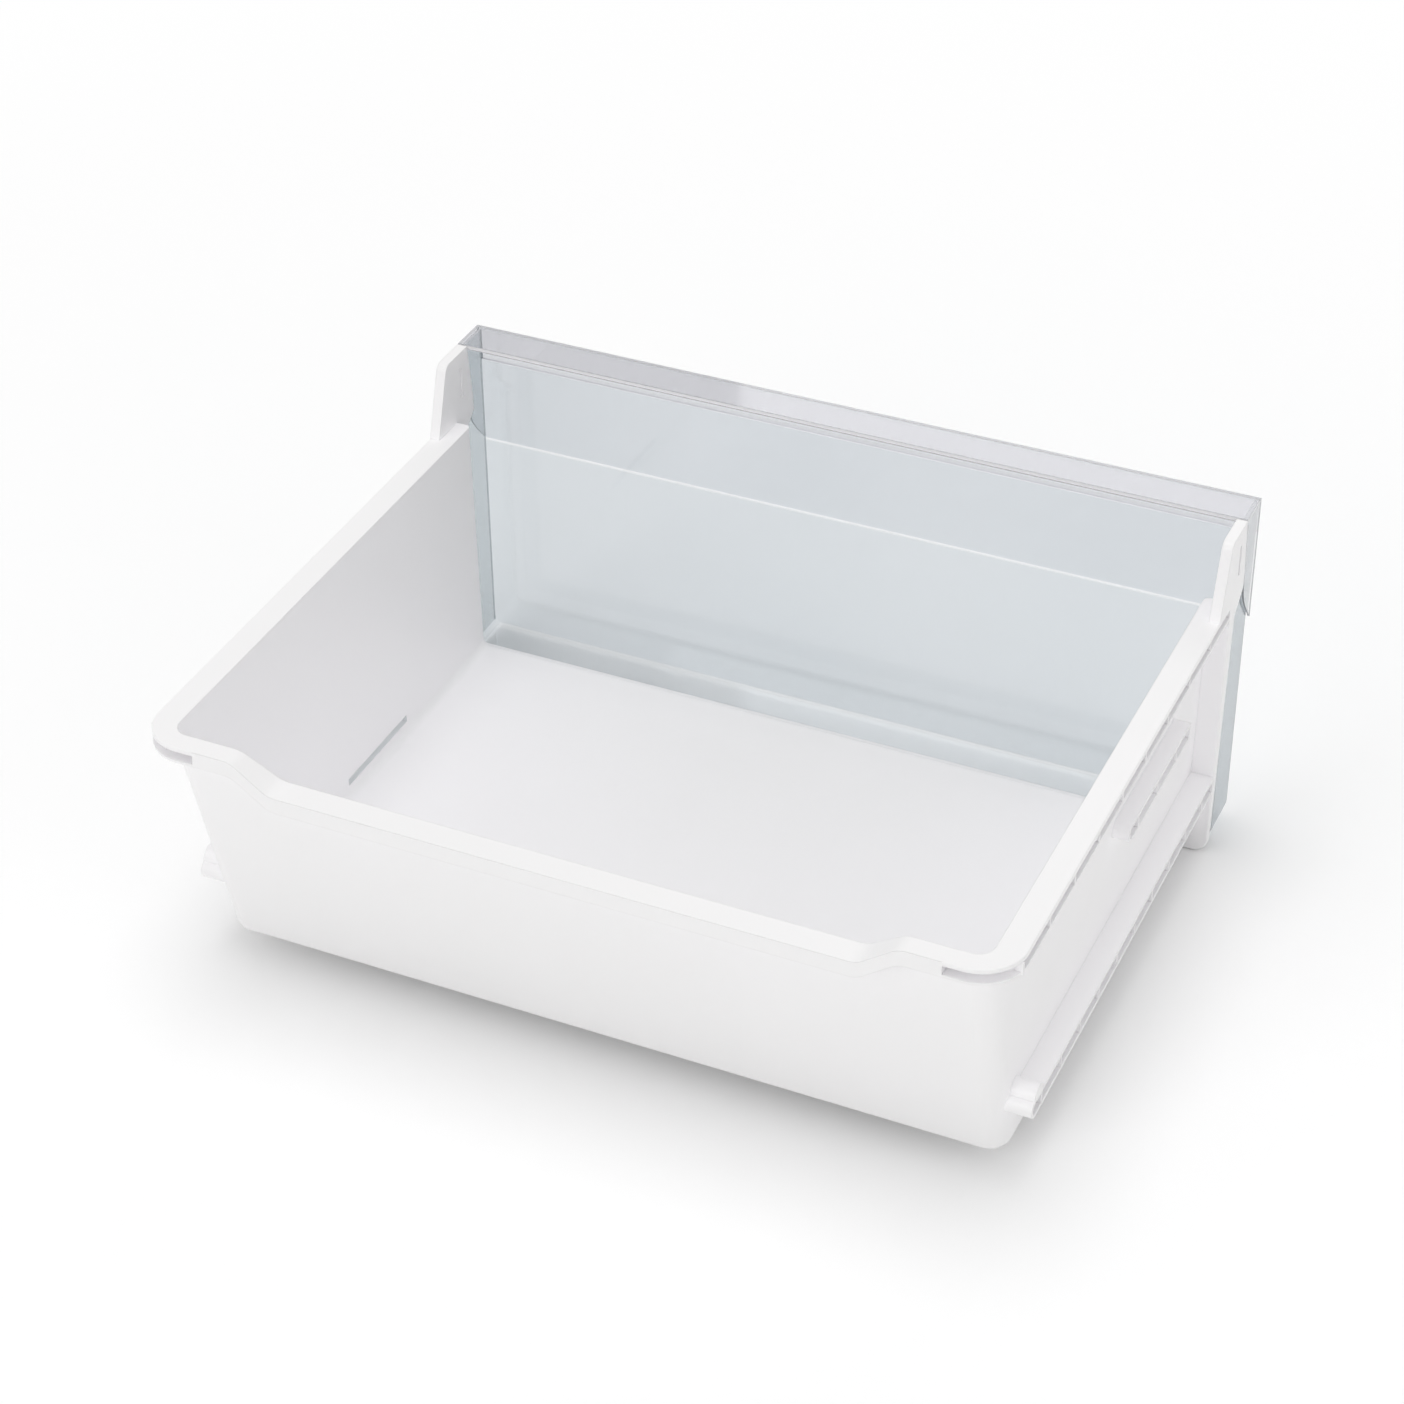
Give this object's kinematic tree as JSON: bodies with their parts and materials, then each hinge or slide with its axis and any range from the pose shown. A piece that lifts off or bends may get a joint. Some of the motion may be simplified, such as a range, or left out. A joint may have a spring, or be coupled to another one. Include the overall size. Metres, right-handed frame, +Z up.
{
  "type": "freezer drawer",
  "caption": "White moulded freezer drawer with ribbed side runners, a scooped back rim, a clear front panel and a clear grip hood along its top edge.",
  "frame": {"origin": "middle of the plan, on the plane that the lower edge of the front frame stands on", "axes": "+X along the width, -Y out of the clear front, +Z up"},
  "size_m": [0.43, 0.3466, 0.1911],
  "materials": {
    "white_plastic": "satin moulded",
    "clear_plastic": "clear, polished"
  },
  "bodies": {
    "root": {"drawer_tub": "white_plastic", "front_panel": "clear_plastic", "grip_hood": "clear_plastic"}
  },
  "joints": []
}
